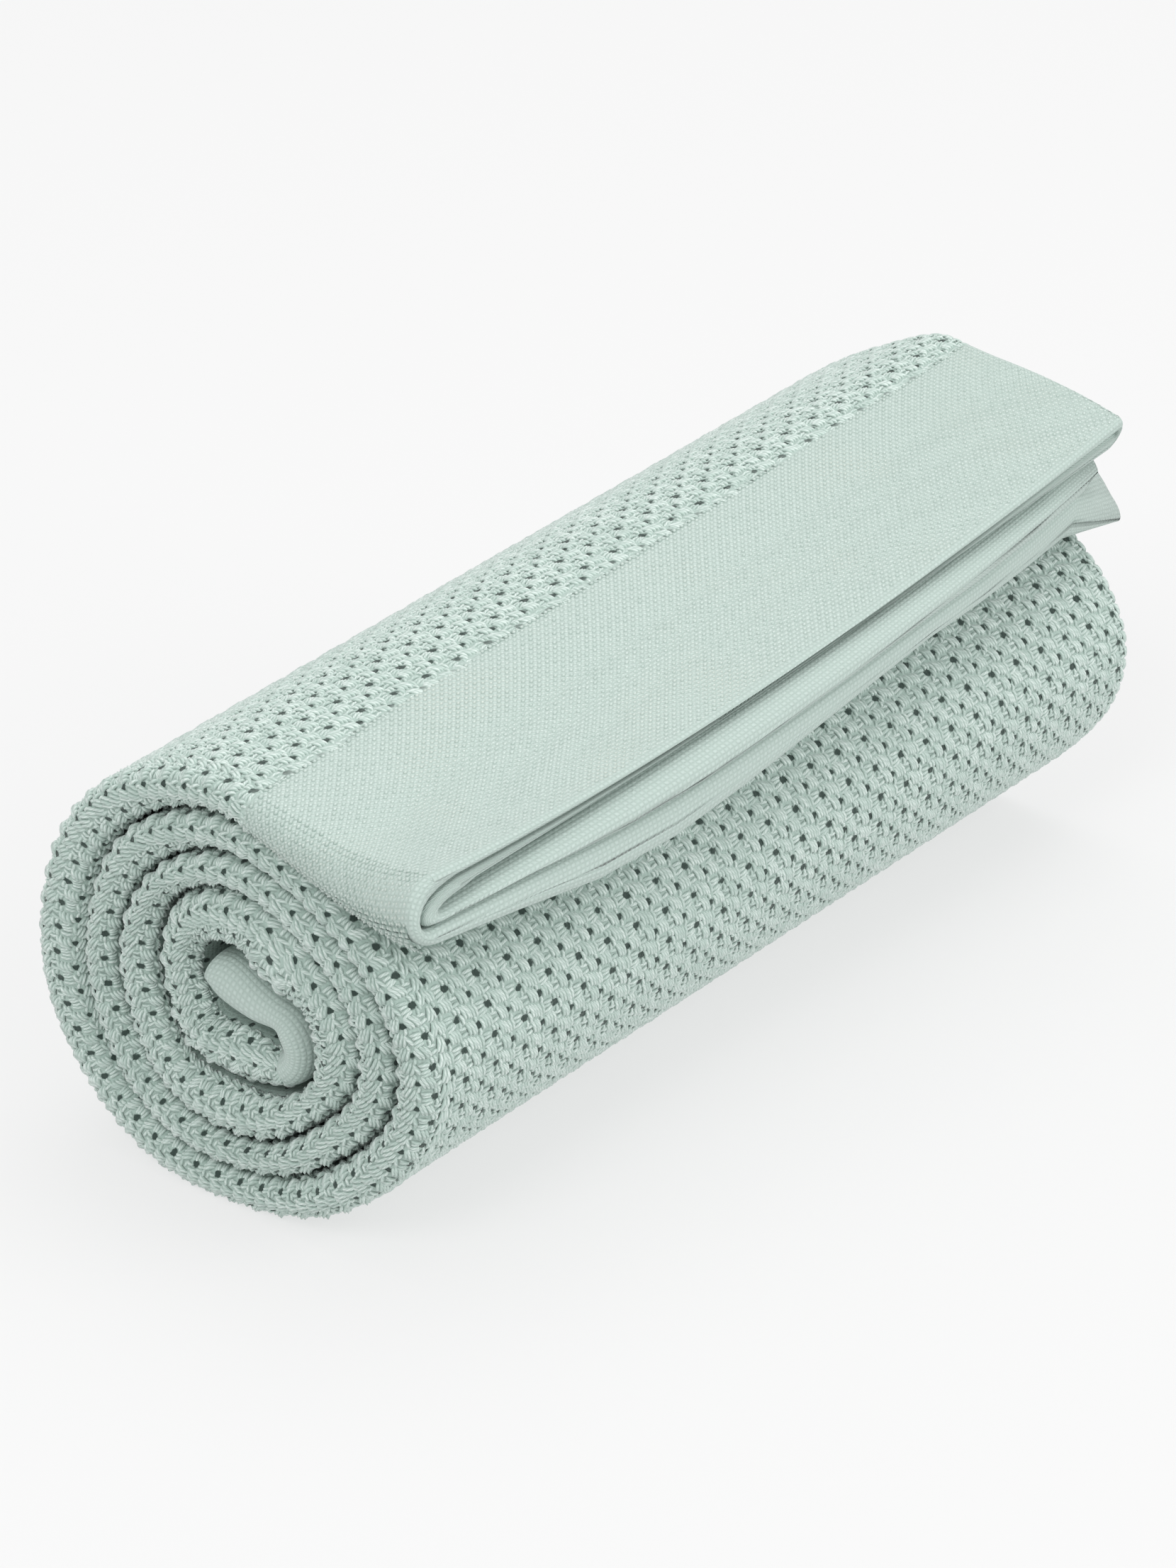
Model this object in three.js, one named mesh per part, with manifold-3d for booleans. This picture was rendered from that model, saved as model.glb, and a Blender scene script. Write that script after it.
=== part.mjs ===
// A baby blanket of woven cellular cotton, folded lengthwise in four and rolled up.
// The rolled band stands 250 mm long on its lowest turn, with its plain-woven end
// border reaching out over the front like an awning.
//
// Frame: millimetres, +X along the roll with the coiled face at -X, -Y the front,
// +Z up, origin on the surface under the middle of the overall size.
import * as THREE from 'three';
import { mergeVertices } from 'three/addons/utils/BufferGeometryUtils.js';
import Module from 'manifold-3d';

// Places across the roll are measured from a line close to its middle: out = distance in
// front of that line, up = height above the surface. The origin lies this far from it.
const ORIGIN = { along: 1.0, out: 5.1 };

// The roll
const ROLL_LENGTH = 250;        // a quarter of the cloth's 1000 mm width
const AXIS_FRONT = 2;           // how far out the coil's centre lies
const AXIS_HEIGHT_NEAR = 48;    // height of the coil's centre at the coiled face
const AXIS_HEIGHT_FAR = 50;     // and at the other end, where the roll is a little thicker
const TURN_GAP = 1.0;           // air left between one turn and the next
const FOLD_DEPTH_NEAR = 4.6;    // how far a folded edge takes to round off, at the coiled face
const FOLD_DEPTH_FAR = 3.2;     // and at the other end, a folded edge over two selvedges
const CORE_SET_BACK = { near: 3.2, far: 1.9, from: 0.45 };  // the core's ends lie deeper, from this share on
const EDGE_WANDER = { size: 0.6, short: 10.3, long: 33 };   // uneven ends: two wave lengths in stations

// Outer side of the band, measured from the coil's centre, one row for each turn.
// The directions run the way the band winds, seen from the coiled face. The first turn
// begins at the top, where the loose end leaves it.
const DIRECTIONS = ['upperFront', 'top', 'upperBack', 'back', 'lowerBack', 'bottom', 'lowerFront', 'front'];
const DIRECTION_STEP = 45;      // degrees from one direction to the next, and from 0 to the first
const COIL_START = 90;          // where the band's coil begins and ends, in degrees
const COIL_END = 1350;
const COIL_STEP = 15;           // degrees from one row of the coil to the next
const TURNS = [
  {
    upperFront: 0.0, top: 50.5, upperBack: 52.2, back: 54.2,
    lowerBack: 55.6, bottom: 49.4, lowerFront: 49.6, front: 53.6,
  },
  {
    upperFront: 45.0, top: 42.2, upperBack: 41.0, back: 40.3,
    lowerBack: 43.6, bottom: 40.0, lowerFront: 39.2, front: 43.8,
  },
  {
    upperFront: 37.6, top: 33.8, upperBack: 31.2, back: 31.7,
    lowerBack: 34.0, bottom: 33.0, lowerFront: 30.6, front: 34.2,
  },
  {
    upperFront: 28.2, top: 25.3, upperBack: 23.8, back: 21.7,
    lowerBack: 22.6, bottom: 20.8, lowerFront: 22.8, front: 20.6,
  },
  {
    upperFront: 9.5, top: 11.0, upperBack: 12.6, back: 11.2,
    lowerBack: 9.6, bottom: 8.2, lowerFront: 8.2, front: 8.2,
  },
];
// At the far end the same distances are larger or smaller by these factors.
const NEAR_FACTOR = Object.fromEntries(DIRECTIONS.map((direction) => [direction, 1]));
const FAR_FACTOR = {
  upperFront: 0.94, top: 1.10, upperBack: 1.098, back: 1.03,
  lowerBack: 1.00, bottom: 1.042, lowerFront: 1.025, front: 1.02,
};

// Loose end, from its hemmed edge back to the top of the roll, one row for each station,
// at the coiled face, at mid length and at the far end. half = half the thickness.
const LOOSE_END = [
  {
    near: { out: 58, up: 88.4, half: 8.4 },
    mid: { out: 63, up: 90.4, half: 8.1 },
    far: { out: 50, up: 94.2, half: 16.2 },
  },
  {
    near: { out: 47, up: 87.4, half: 7.2 },
    mid: { out: 52, up: 91.8, half: 7.3 },
    far: { out: 40, up: 98.2, half: 12.4 },
  },
  {
    near: { out: 35, up: 88.2, half: 5.6 },
    mid: { out: 38, up: 94.0, half: 6.2 },
    far: { out: 28, up: 102.4, half: 8.9 },
  },
  {
    near: { out: 23, up: 91.2, half: 4.5 },
    mid: { out: 24, up: 97.0, half: 5.0 },
    far: { out: 17, up: 105.9, half: 6.3 },
  },
  {
    near: { out: 12, up: 93.8, half: 4.0 },
    mid: { out: 12, up: 99.2, half: 4.4 },
    far: { out: 9, up: 108.2, half: 4.9 },
  },
  {
    near: { out: 2, up: 94.6, half: 3.7 },
    mid: { out: 2, up: 100.2, half: 4.0 },
    far: { out: 2, up: 109.2, half: 4.3 },
  },
];
const LIFT_FAR = 8.2;           // how far the loose end lifts the top of the roll at the far end
const LIFT_REACH = 45;          // degrees of the coil over which that lift fades out

// Core: the band turns tightly back on itself and its inner end lies across the middle.
const CORE_TURN = { out: 10.6, up: 39.7, radius: 5.9, half: 3.9, steps: 6 };
const CORE_TONGUE = [
  { out: 4.5, up: 46.1, half: 4.7 },
  { out: -3.2, up: 48.2, half: 5.0 },
  { out: -5.8, up: 49.0, half: 3.4 },
];

// Pockets between the four layers of the loose end. level = share of the half thickness
// at which the pocket lies, gap = its height at the hemmed edge, reach = its depth in
// stations, from = its distance from the coiled face, past = how far it runs past the far end.
const POCKETS = [
  {
    level: { near: 0.62, mid: 0.82, far: 0.71 },
    gap: { near: 0.7, mid: 0.7, far: 1.5 },
    reach: 8, from: 10, past: -5,
  },
  {
    level: { near: 0.12, mid: 0.5, far: 0.33 },
    gap: { near: 2.2, mid: 3.2, far: 3.0 },
    reach: 9, from: 13, past: 6,
  },
  {
    level: { near: -0.3, mid: -0.06, far: -0.4 },
    gap: { near: 0.8, mid: 1.0, far: 4.4 },
    reach: 8, from: 10, past: 6,
  },
];
const [, MOUTH, LOWER_GAP] = POCKETS;
const POCKET_END_GAP = 0.5;     // height of a pocket where it closes
const POCKET_STEPS = 8;         // stations of a pocket from its mouth to its end
const POCKET_STOPS = 9;         // its outlines along the roll
// Stations by which the upper two layers end short of the lower two, and never less than
const UPPER_PAIR_SHORT = { near: 0, mid: 0.9, far: 0.1, least: 0.02 };
const TRIM = { stops: 13, past: 6, front: -2, top: 2 };  // the cut that shortens them, past all it meets

// At the far corner the lowest layer's flap stands out past the roll's end and the others
// stop short of it, less and less within a few stations of the hemmed edge.
const CORNER = { flap: 3.5, short: 5.0, stations: 6 };

const STEPS_PER_ROW = 2;        // stations between one row of the tables and the next
const SLOPE_STEP = 0.5;         // stations before and after, from which the band's slope is read
const MINT = 0xb9cfc7;

const END = ROLL_LENGTH / 2;
const { clamp, degToRad, lerp } = THREE.MathUtils;

// Value at x from its values near, at mid length and far, on a parabola through the three.
function along(x, { near, mid, far }) {
  const t = x / END;
  return near * t * (t - 1) / 2 + mid * (1 - t * t) + far * t * (t + 1) / 2;
}

// Distance of the band's outer side from the coil's centre at an angle, from the table,
// on a smooth curve through its directions.
function outerSide(angle, factors) {
  const read = (index) => {
    const safe = clamp(index, 1, TURNS.length * DIRECTIONS.length - 1);
    const direction = DIRECTIONS[safe % DIRECTIONS.length];
    return TURNS[Math.floor(safe / DIRECTIONS.length)][direction] * factors[direction];
  };
  const place = angle / DIRECTION_STEP - 1;
  const index = Math.floor(place);
  const t = place - index;
  const [before, start, end, after] = [-1, 0, 1, 2].map((step) => read(index + step));
  const slopeStart = (end - before) / 2;
  const slopeEnd = (after - start) / 2;
  return start * (1 + 2 * t) * (1 - t) ** 2 + end * t * t * (3 - 2 * t)
    + slopeStart * t * (1 - t) ** 2 - slopeEnd * t * t * (1 - t);
}

// Rows of the band's centre-line round the coil, at both ends of the roll. The thickness
// is what the next turn inwards leaves, narrower where the band runs at a slant.
function coilRows() {
  const rows = [];
  for (let angle = COIL_START + COIL_STEP; angle <= COIL_END; angle += COIL_STEP) {
    const turn = degToRad(angle);
    const at = (factors, height) => {
      const middle = (degrees) => (outerSide(degrees, factors) + outerSide(degrees + 360, factors)) / 2;
      const radius = middle(angle);
      const climb = (middle(angle + 1) - middle(angle - 1)) / degToRad(2);
      const slant = radius / Math.hypot(radius, climb);
      return {
        out: AXIS_FRONT + Math.cos(turn) * radius,
        up: height + Math.sin(turn) * radius,
        half: (2 * (outerSide(angle, factors) - radius) * slant - TURN_GAP) / 2,
      };
    };
    const lift = LIFT_FAR * Math.max(0, 1 - (angle - COIL_START) / LIFT_REACH) ** 2;
    rows.push({ near: at(NEAR_FACTOR, AXIS_HEIGHT_NEAR), far: at(FAR_FACTOR, AXIS_HEIGHT_FAR + lift) });
  }
  return rows;
}

function coreRows() {
  const rows = [];
  const rise = AXIS_HEIGHT_FAR - AXIS_HEIGHT_NEAR;
  const add = (near) => rows.push({ near, far: { ...near, up: near.up + rise } });
  for (let step = 0; step <= CORE_TURN.steps; step += 1) {
    const angle = Math.PI * (step / CORE_TURN.steps - 0.5);
    add({
      out: CORE_TURN.out + CORE_TURN.radius * Math.cos(angle),
      up: CORE_TURN.up + CORE_TURN.radius * Math.sin(angle),
      half: CORE_TURN.half,
    });
  }
  CORE_TONGUE.forEach(add);
  return rows;
}

function midOf(row) {
  const mean = (key) => (row.near[key] + row.far[key]) / 2;
  return row.mid ?? { out: mean('out'), up: mean('up'), half: mean('half') };
}

// The band's centre-line on three smooth curves, with its half thickness as third value
const rows = [...LOOSE_END, ...coilRows(), ...coreRows()];
const places = ['near', 'mid', 'far'];
const curves = Object.fromEntries(places.map((place) => {
  const points = rows.map((row) => {
    const station = place === 'mid' ? midOf(row) : row[place];
    return new THREE.Vector3(station.out, station.up, station.half);
  });
  return [place, new THREE.CatmullRomCurve3(points, false, 'centripetal')];
}));
const STATIONS = (rows.length - 1) * STEPS_PER_ROW;

// Centre, outward normal and half thickness of the band at a station and a place along
// the roll. Before the first station the band runs straight on.
function bandAt(station, x) {
  const read = (at) => {
    const t = clamp(at / STATIONS, 0, 1);
    const [near, mid, far] = places.map((place) => curves[place].getPoint(t));
    return ['x', 'y', 'z'].map((key) => along(x, { near: near[key], mid: mid[key], far: far[key] }));
  };
  const [out, up, thick] = read(station);
  const base = clamp(station, SLOPE_STEP, STATIONS - SLOPE_STEP);
  const [outBefore, upBefore] = read(base - SLOPE_STEP);
  const [outAfter, upAfter] = read(base + SLOPE_STEP);
  const run = Math.hypot(outAfter - outBefore, upAfter - upBefore);
  const tangent = { out: (outAfter - outBefore) / run, up: (upAfter - upBefore) / run };
  const beyond = Math.min(0, station) * run;
  return {
    out: out + tangent.out * beyond,
    up: up + tangent.up * beyond,
    thick,
    normal: { out: tangent.up, up: -tangent.out },
  };
}

// Point of the band: station along it, x along the roll, share of the half thickness.
// The lowest turn is pressed flat on the surface.
function bandPoint(station, x, share) {
  const band = bandAt(station, clamp(x, -END, END));
  const out = band.out + band.normal.out * band.thick * share;
  const up = band.up + band.normal.up * band.thick * share;
  return new THREE.Vector3(x - ORIGIN.along, ORIGIN.out - out, Math.max(0, up));
}

// Ends of the band at a station: deeper towards the core, and a little uneven
function bandEnds(station) {
  const { near, far, from } = CORE_SET_BACK;
  const inwards = Math.max(0, (station / STATIONS - from) / (1 - from));
  const wave = (length) => Math.sin(2 * Math.PI * station / length);
  const wander = EDGE_WANDER.size * wave(EDGE_WANDER.short) * wave(EDGE_WANDER.long);
  return { near: -END + inwards * near + wander, far: END - inwards * far + wander };
}

// Closed solid from rings of points. endTriangles fill the first ring, in corner numbers
// that run against the ring; the last ring is filled the other way round.
function loft(rings, endTriangles) {
  const count = rings[0].length;
  const last = (rings.length - 1) * count;
  const index = [];
  for (let row = 0; row + 1 < rings.length; row += 1) {
    for (let column = 0; column < count; column += 1) {
      const a = row * count + column;
      const b = row * count + (column + 1) % count;
      index.push(a, b, a + count, b, b + count, a + count);
    }
  }
  endTriangles.forEach(([a, b, c]) => index.push(a, b, c, last + c, last + b, last + a));
  const geometry = new THREE.BufferGeometry();
  const positions = rings.flatMap((ring) => ring.flatMap((point) => point.toArray()));
  geometry.setAttribute('position', new THREE.Float32BufferAttribute(positions, 3));
  geometry.setIndex(index);
  return geometry;
}

// Outline of the band across the roll: from the coiled face's rounded fold along the
// upper side to the far end and back along the under side.
const NEAR_STEPS = 6;
const FAR_STEPS = 4;
const SIDE_PLACES = [-0.7, -0.35, 0, 0.35, 0.7];  // shares of the way from the middle to an end

function bandRing(station) {
  const ends = bandEnds(station);
  const outline = [];
  for (let step = 0; step <= NEAR_STEPS; step += 1) {
    const angle = Math.PI * (step / NEAR_STEPS - 0.5);
    outline.push([ends.near + FOLD_DEPTH_NEAR * (1 - Math.cos(angle)), Math.sin(angle)]);
  }
  SIDE_PLACES.forEach((place) => outline.push([place * END, 1]));
  for (let step = 0; step <= FAR_STEPS; step += 1) {
    const angle = Math.PI * (0.5 - step / FAR_STEPS);
    const share = Math.sin(angle);
    const corner = share < LOWER_GAP.level.far ? CORNER.flap : -CORNER.short;
    const loose = Math.max(0, 1 - station / CORNER.stations) ** 2;
    outline.push([ends.far - FOLD_DEPTH_FAR * (1 - Math.cos(angle)) + corner * loose, share]);
  }
  [...SIDE_PLACES].reverse().forEach((place) => outline.push([place * END, -1]));
  return outline.map(([x, share]) => bandPoint(station, x, share));
}

// The band's two ends are filled by strips between its upper and its under side.
function bandEndTriangles() {
  const count = NEAR_STEPS + FAR_STEPS + 2 + 2 * SIDE_PLACES.length;
  const opposite = (corner) => (NEAR_STEPS - corner + count) % count;
  const first = NEAR_STEPS / 2;
  const last = NEAR_STEPS + 1 + SIDE_PLACES.length + FAR_STEPS / 2;
  const triangles = [];
  for (let corner = first; corner < last; corner += 1) {
    const next = corner + 1;
    if (corner > first) triangles.push([corner, opposite(corner), next]);
    if (next < last) triangles.push([next, opposite(corner), opposite(next)]);
  }
  return triangles;
}

// Solid to cut out of the band, from outlines in stations and shares at several stops
// along the roll
function cutAlong(stops, outlineAt) {
  const outlines = stops.map(outlineAt);
  const rings = outlines.map((outline, row) => (
    outline.map(([station, share]) => bandPoint(station, stops[row], share))));
  const flat = outlines[0].map(([station, share]) => new THREE.Vector2(station, share));
  const sense = (corners) => Math.sign(THREE.ShapeUtils.area(corners));
  const fill = THREE.ShapeUtils.triangulateShape(flat, []).map((triangle) => (
    sense(triangle.map((corner) => flat[corner])) === sense(flat) ? [...triangle].reverse() : triangle));
  return loft(rings, fill);
}

function stopsBetween(from, to, count) {
  return Array.from({ length: count }, (_, step) => lerp(from, to, step / (count - 1)));
}

// A pocket narrows towards its end, where the four layers lie evenly.
function pocket({ level, gap, reach, from, past }, order) {
  const evenLevel = 0.5 - 0.5 * order;
  return cutAlong(stopsBetween(-END + from, END + past, POCKET_STOPS), (x) => {
    const side = (sign) => Array.from({ length: POCKET_STEPS + 1 }, (_, step) => {
      const depth = step / POCKET_STEPS;
      const station = lerp(-1, reach, depth);
      const levelHere = lerp(along(x, level), evenLevel, depth);
      const gapHere = lerp(along(x, gap), POCKET_END_GAP, depth);
      return [station, levelHere + sign * gapHere / 2 / bandAt(Math.max(0, station), x).thick];
    });
    return [...side(-1), ...side(1).reverse()];
  });
}

// Everything above the mouth, in front of the hemmed edge of the upper two layers
function upperPairTrim() {
  const { stops, past, front, top } = TRIM;
  return cutAlong(stopsBetween(-END - past, END + past, stops), (x) => {
    const base = along(x, MOUTH.level);
    const end = Math.max(UPPER_PAIR_SHORT.least, along(x, UPPER_PAIR_SHORT));
    return [[front, base], [end, base], [end, top], [front, top]];
  });
}

const wasm = await Module();
wasm.setup();

function toSolid(geometry) {
  const merged = mergeVertices(geometry, 1e-4);
  return new wasm.Manifold(new wasm.Mesh({
    numProp: 3,
    vertProperties: Float32Array.from(merged.attributes.position.array),
    triVerts: Uint32Array.from(merged.index.array),
  }));
}

function toGeometry(solid) {
  const { vertProperties, triVerts } = solid.getMesh();
  const geometry = new THREE.BufferGeometry();
  geometry.setAttribute('position', new THREE.BufferAttribute(vertProperties, 3));
  geometry.setIndex(new THREE.BufferAttribute(triVerts, 1));
  geometry.computeVertexNormals();
  return geometry;
}

function blanket() {
  const stations = Array.from({ length: STATIONS + 1 }, (_, station) => station);
  const band = toSolid(loft(stations.map(bandRing), bandEndTriangles()));
  const cuts = [...POCKETS.map(pocket), upperPairTrim()];
  const solid = cuts.reduce((whole, cut) => whole.subtract(toSolid(cut)), band);
  const cotton = new THREE.MeshStandardMaterial({ color: MINT, roughness: 0.95, metalness: 0 });
  const mesh = new THREE.Mesh(toGeometry(solid), cotton);
  mesh.name = 'blanket';
  return mesh;
}

const object = new THREE.Group();
object.add(blanket());
export default object;
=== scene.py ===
import math

import bpy
import numpy as np
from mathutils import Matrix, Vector


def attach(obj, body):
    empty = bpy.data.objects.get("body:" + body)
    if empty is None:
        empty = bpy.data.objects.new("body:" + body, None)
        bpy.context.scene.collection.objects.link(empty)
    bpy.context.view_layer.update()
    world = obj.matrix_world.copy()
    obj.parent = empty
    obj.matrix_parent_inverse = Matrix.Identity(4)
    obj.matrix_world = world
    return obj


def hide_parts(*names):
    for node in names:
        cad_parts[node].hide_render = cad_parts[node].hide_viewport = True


# A woven cellular cotton baby blanket, folded lengthwise in four and rolled up, its
# plain-woven end border reaching out over the front.
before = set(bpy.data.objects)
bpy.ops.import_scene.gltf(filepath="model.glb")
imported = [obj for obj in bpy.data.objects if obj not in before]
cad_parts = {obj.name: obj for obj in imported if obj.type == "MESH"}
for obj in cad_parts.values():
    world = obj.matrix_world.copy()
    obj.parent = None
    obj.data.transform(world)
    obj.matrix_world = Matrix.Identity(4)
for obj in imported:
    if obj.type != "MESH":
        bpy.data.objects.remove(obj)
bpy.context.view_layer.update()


# Camera, table and light
# The roll lies on a plain sheet of opal acrylic, lit evenly from below, under large soft
# lamps and an even pale sky. The camera looks down on its coiled face and its front.
AZIMUTH, ELEVATION = math.radians(-51.26), math.radians(28.0)
AIM = Vector((-0.0077, 0.0036, 0.0496))
DISTANCE = 1.085                        # metres from the aim to the camera
LENS, SENSOR = 114.15, 36               # millimetres
TABLE_HALF = 8.0                        # metres, so that its edges stay out of view
TABLE_GLOW, SKY_GLOW = 0.625, 0.75
# each lamp's place and size in metres, and its watts
LAMPS = (("soft_lamp_above", (0.5, 0.3, 2.2), 1.6, 12),
         ("soft_lamp_front", (0.6, -1.8, 1.2), 1.4, 17),
         ("soft_lamp_left", (-1.7, -0.4, 1.8), 1.0, 17))


def linear(hex_colour):
    """An sRGB hex colour as Blender's linear red, green, blue and alpha."""
    parts = [int(hex_colour[i:i + 2], 16) / 255 for i in (0, 2, 4)]
    return [c / 12.92 if c <= 0.04045 else ((c + 0.055) / 1.055) ** 2.4 for c in parts] + [1]


def node(tree, kind, links=None, **settings):
    """Adds a node. links maps its inputs to another node's output, or to a plain value."""
    made = tree.nodes.new(kind)
    for name, value in settings.items():
        setattr(made, name, value)
    for name, value in (links or {}).items():
        socket = made.inputs[name]
        if isinstance(value, bpy.types.NodeSocket):
            tree.links.new(value, socket)
        else:
            socket.default_value = value
    return made


def new_material(name):
    """An empty material with its output node."""
    material = bpy.data.materials.new(name)
    material.use_nodes = True
    material.node_tree.nodes.clear()
    return material, material.node_tree, node(material.node_tree, "ShaderNodeOutputMaterial")


towards = Vector((math.sin(AZIMUTH) * math.cos(ELEVATION), -math.cos(AZIMUTH) * math.cos(ELEVATION),
                  math.sin(ELEVATION)))
camera = bpy.data.objects.new("camera", bpy.data.cameras.new("camera"))
bpy.context.scene.collection.objects.link(camera)
camera.data.lens, camera.data.sensor_width = LENS, SENSOR
camera.location = AIM + towards * DISTANCE
camera.rotation_mode = "QUATERNION"
camera.rotation_quaternion = (-towards).to_track_quat("-Z", "Y")
bpy.context.scene.camera = camera

table_mesh = bpy.data.meshes.new("table_top")
table_corners = [(x * TABLE_HALF, y * TABLE_HALF, 0) for x, y in ((-1, -1), (1, -1), (1, 1), (-1, 1))]
table_mesh.from_pydata(table_corners, [], [(0, 1, 2, 3)])
table_top = bpy.data.objects.new("table_top", table_mesh)
bpy.context.scene.collection.objects.link(table_top)
# opal acrylic, cast and lit from below: it glows evenly, so the ground stays pale under the roll
opal, tree, out = new_material("cast_opal_acrylic")
shader = node(tree, "ShaderNodeBsdfPrincipled",
              {"Base Color": linear("898989"), "Roughness": 0.9, "Specular IOR Level": 0.1,
               "Emission Color": linear("FFFFFF"), "Emission Strength": TABLE_GLOW})
tree.links.new(shader.outputs[0], out.inputs[0])
table_mesh.materials.append(opal)

sky = bpy.data.worlds.new("studio")
sky.use_nodes = True
sky.node_tree.nodes["Background"].inputs["Color"].default_value = (1, 1, 1, 1)
sky.node_tree.nodes["Background"].inputs["Strength"].default_value = SKY_GLOW
bpy.context.scene.world = sky
bpy.context.scene.view_settings.view_transform = "Standard"

for lamp_name, lamp_place, lamp_size, watts in LAMPS:
    light = bpy.data.lights.new(lamp_name, "AREA")
    light.size, light.energy = lamp_size, watts
    lamp = bpy.data.objects.new(lamp_name, light)
    lamp.location = lamp_place
    lamp.rotation_mode = "QUATERNION"
    lamp.rotation_quaternion = (AIM - Vector(lamp_place)).to_track_quat("-Z", "Y")
    bpy.context.scene.collection.objects.link(lamp)


# Band of folded cloth
# One cotton cloth of 1000 by 850 mm, woven in one piece with its borders, folded in four to
# a band 250 mm wide and wound up from its inner end. Places are in millimetres: along the
# roll from its middle, out in front of its middle line, and up above the table.
MM = 0.001
ORIGIN_ALONG, ORIGIN_OUT = 1.0, 5.1             # the part's own frame, seen from the roll
HALF_LENGTH = 125.0
AXIS_FRONT, AXIS_NEAR, AXIS_FAR = 2.0, 48.0, 50.0       # the coil's centre: out, and up at each end
TURN_GAP = 1.0
COIL_START, COIL_END, COIL_STEP = 90, 1350, 15          # degrees
# outer side of the band from the coil's centre, in steps of 45 degrees, a row for a turn:
# upper front, top, upper back, back, lower back, bottom, lower front, front
TURNS = np.array([
    [0.0, 50.5, 52.2, 54.2, 55.6, 49.4, 49.6, 53.6],
    [45.0, 42.2, 41.0, 40.3, 43.6, 40.0, 39.2, 43.8],
    [37.6, 33.8, 31.2, 31.7, 34.0, 33.0, 30.6, 34.2],
    [28.2, 25.3, 23.8, 21.7, 22.6, 20.8, 22.8, 20.6],
    [9.5, 11.0, 12.6, 11.2, 9.6, 8.2, 8.2, 8.2],
])
TURN_ANGLE = 45.0
FAR_FACTOR = np.array([0.94, 1.10, 1.098, 1.03, 1.00, 1.042, 1.025, 1.02])     # at the far end
# loose end from its hemmed edge back to the roll: out, up and half the thickness, at the
# coiled face, at mid length and at the far end
LOOSE_END = np.array([
    [[58, 88.4, 8.4], [63, 90.4, 8.1], [50, 94.2, 16.2]],
    [[47, 87.4, 7.2], [52, 91.8, 7.3], [40, 98.2, 12.4]],
    [[35, 88.2, 5.6], [38, 94.0, 6.2], [28, 102.4, 8.9]],
    [[23, 91.2, 4.5], [24, 97.0, 5.0], [17, 105.9, 6.3]],
    [[12, 93.8, 4.0], [12, 99.2, 4.4], [9, 108.2, 4.9]],
    [[2, 94.6, 3.7], [2, 100.2, 4.0], [2, 109.2, 4.3]],
])
LIFT_FAR, LIFT_REACH = 8.2, 45.0        # at the far end the band's top is lifted, over these degrees
# the core's tight turn (out, up, radius, half thickness, steps) and its inner end
CORE_OUT, CORE_UP, CORE_RADIUS, CORE_HALF, CORE_STEPS = 10.6, 39.7, 5.9, 3.9, 6
CORE_TONGUE = np.array([[4.5, 46.3, 5.0], [-3.4, 49.0, 5.6], [-7.2, 50.4, 4.0]])
FOLD_NEAR, FOLD_FAR = 4.6, 3.2          # how far a folded edge takes to round off
# the inner turns lie back from both ends, from this share of the band's length on
SET_BACK_NEAR, SET_BACK_FAR, SET_BACK_FROM = 4.6, 1.9, 0.45
WANDER, WANDER_SHORT, WANDER_LONG = 0.6, 10.3, 33       # unevenness of the ends, and its waves
FLAP_OUT, LAYERS_SHORT, CORNER_REACH = 6.5, 5.0, 6      # the far corner: lowest layer, the others
# the loose end's near corner bulges, and its fold is deeper
FLARE_NEAR, FLARE_FOLD, FLARE_REACH, FLARE_CURVE = 6.0, 3.0, 11.0, 1.4
STATIONS_A_ROW = 2                      # places along the band are counted in stations
FINE = 20                               # samples of the centre line for each station
SLOPE_STEP = 0.5                        # stations to either side that give the band's direction
CENTRIPETAL, LEAST_STEP = 0.25, 1e-4


def outer_side(angle, factors):
    """Distance of the band's outer side from the coil's centre, smooth between the rows."""
    table = (TURNS * factors).ravel()
    place = angle / TURN_ANGLE - 1
    step = np.floor(place)
    t = place - step
    before, here, after, beyond = (
        table[np.clip(step + k, 1, len(table) - 1).astype(int)] for k in (-1, 0, 1, 2))
    rise, fall = (after - before) / 2, (beyond - here) / 2
    return (here * (1 + 2 * t) * (1 - t) ** 2 + after * t * t * (3 - 2 * t)
            + rise * t * (1 - t) ** 2 - fall * t * t * (1 - t))


def coil_rows(angle, factors, height):
    """Out, up and half thickness of the band in the coil, at these angles."""
    def middle(a):
        return (outer_side(a, factors) + outer_side(a + 360, factors)) / 2
    radius = middle(angle)
    climb = (middle(angle + 1) - middle(angle - 1)) / np.radians(2)
    slant = radius / np.hypot(radius, climb)
    half = (2 * (outer_side(angle, factors) - radius) * slant - TURN_GAP) / 2
    turn = np.radians(angle)
    return np.stack([AXIS_FRONT + np.cos(turn) * radius, height + np.sin(turn) * radius, half], -1)


def band_rows():
    """Rows of the band from the loose end to the core, each near, mid and far."""
    angle = np.arange(COIL_START + COIL_STEP, COIL_END + 1, COIL_STEP, dtype=float)
    lift = LIFT_FAR * np.clip(1 - (angle - COIL_START) / LIFT_REACH, 0, None) ** 2
    near = coil_rows(angle, np.ones_like(FAR_FACTOR), AXIS_NEAR)
    far = coil_rows(angle, FAR_FACTOR, AXIS_FAR + lift)
    bend = np.pi * (np.arange(CORE_STEPS + 1) / CORE_STEPS - 0.5)
    core = np.stack([CORE_OUT + CORE_RADIUS * np.cos(bend), CORE_UP + CORE_RADIUS * np.sin(bend),
                     np.full(CORE_STEPS + 1, CORE_HALF)], -1)
    core = np.concatenate([core, CORE_TONGUE])
    near = np.concatenate([near, core])
    far = np.concatenate([far, core + [0, AXIS_FAR - AXIS_NEAR, 0]])
    return np.concatenate([LOOSE_END, np.stack([near, (near + far) / 2, far], 1)])


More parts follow.
